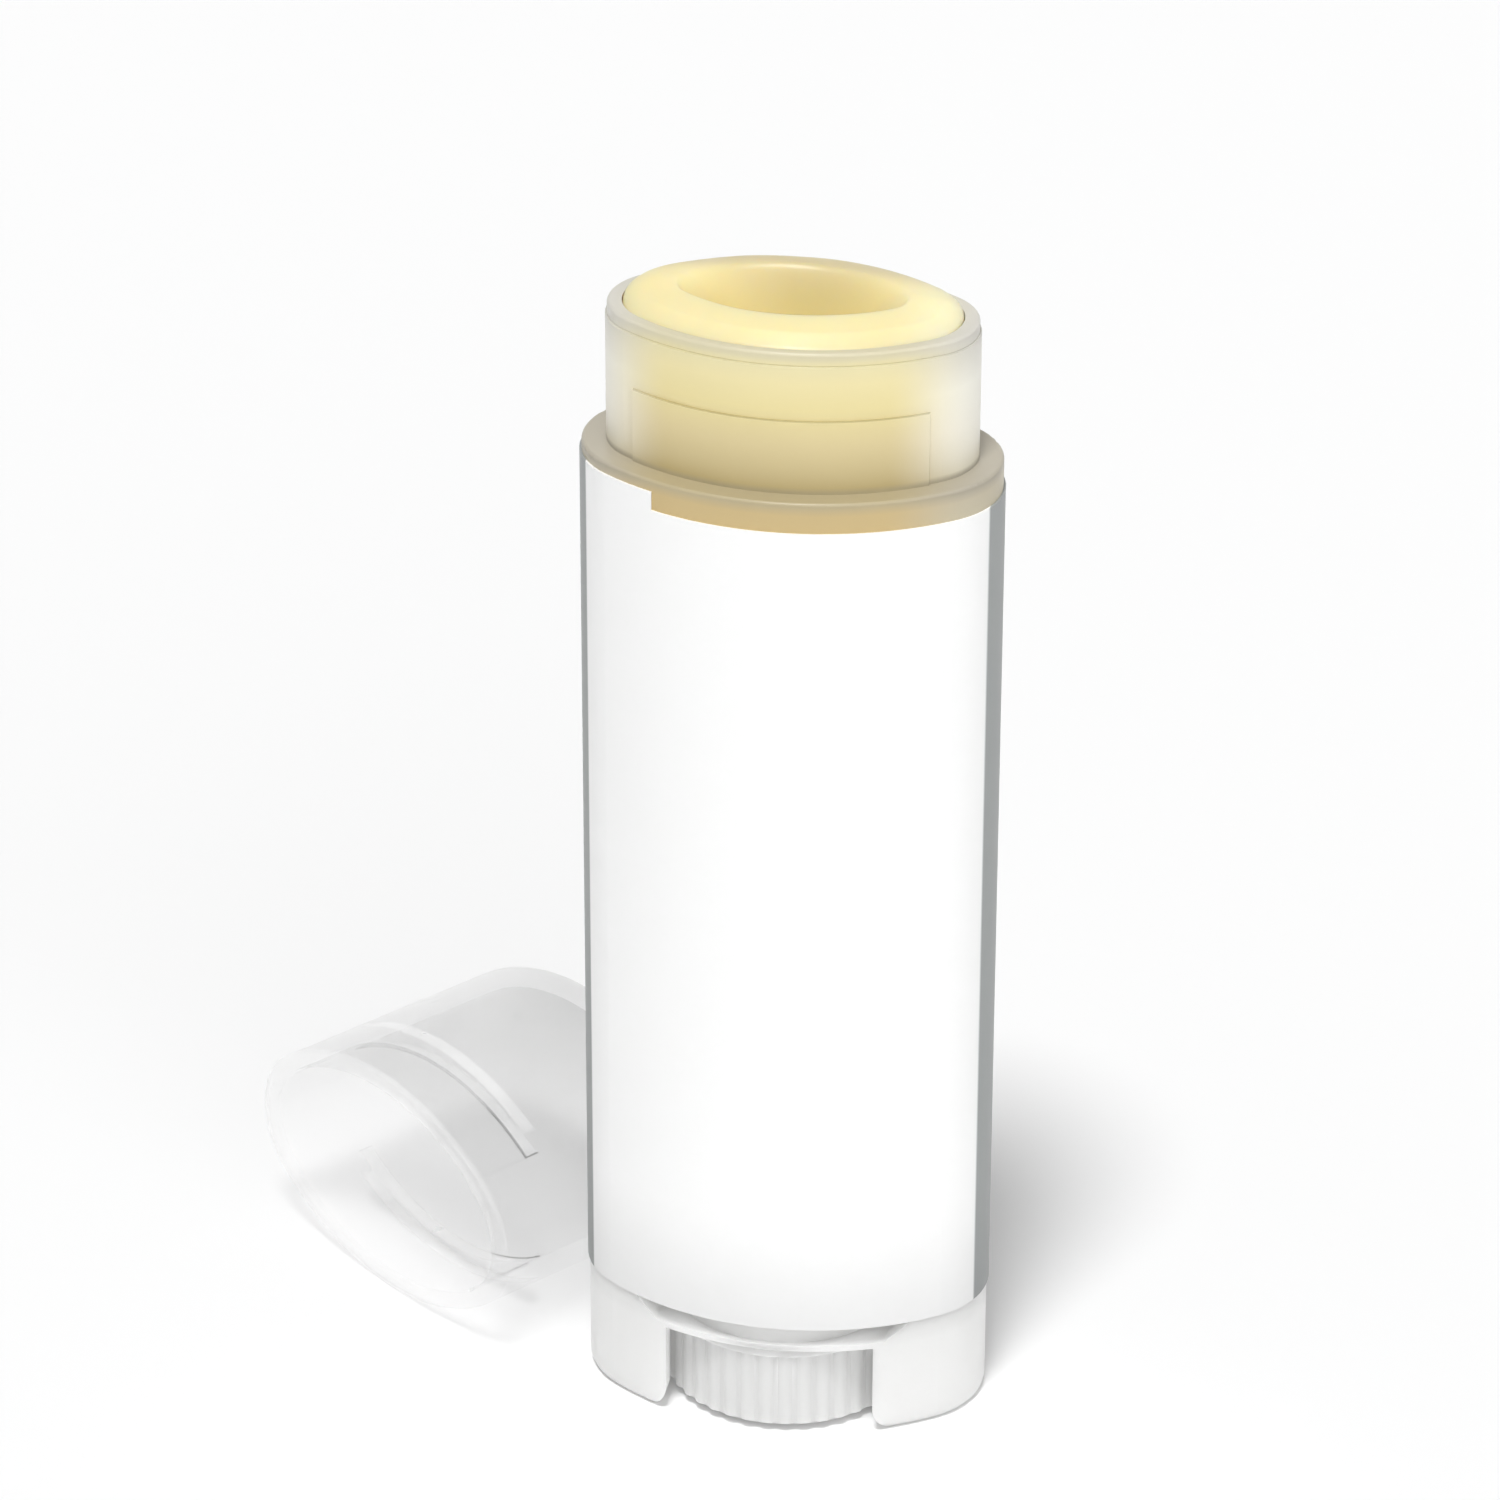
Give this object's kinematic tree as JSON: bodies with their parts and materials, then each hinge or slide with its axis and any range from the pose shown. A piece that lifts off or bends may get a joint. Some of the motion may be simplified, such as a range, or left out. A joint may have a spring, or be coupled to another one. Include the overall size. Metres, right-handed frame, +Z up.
{
  "type": "lip balm stick",
  "caption": "Slim oval twist-up lip balm stick, opened: knurled thumb wheel with screw, elevator, balm, wrapped barrel, and the cap lying beside it.",
  "frame": {"origin": "middle of the stick's oval foot, on the surface it stands on", "axes": "+Z up the stick, +X to the stick's right seen from its labelled front, +Y to its back"},
  "size_m": [0.0375, 0.0254, 0.0566],
  "materials": {
    "barrel_plastic": "satin",
    "label_film": "satin",
    "wheel_plastic": "satin",
    "elevator_plastic": "satin",
    "balm_wax": "satin",
    "cap_plastic": "satin"
  },
  "bodies": {
    "stick": {"barrel": "barrel_plastic", "label": "label_film"},
    "wheel": {"thumb_wheel": "wheel_plastic"},
    "carriage": {"elevator": "elevator_plastic", "balm": "balm_wax"},
    "loose_cap": {"cap": "cap_plastic"}
  },
  "joints": [
    {"name": "wheel_spin", "type": "hinge", "parent": "stick", "child": "wheel", "pos_m": [0, 0, 0.0024], "axis": [0, 0, 1], "range_deg": [-90, 3420]},
    {"name": "balm_lift", "type": "slide", "parent": "stick", "child": "carriage", "axis": [0, 0, 1], "range_m": [-0.001, 0.038]},
    {"name": "cap_slide", "type": "slide", "parent": "stick", "child": "loose_cap", "axis": [-0.6293, -0.7771, 0], "range_m": [0, 0.02]}
  ],
  "couplings": [
    {"joint": "wheel_spin", "follows": "balm_lift", "rad_per_m": 1570.8}
  ]
}
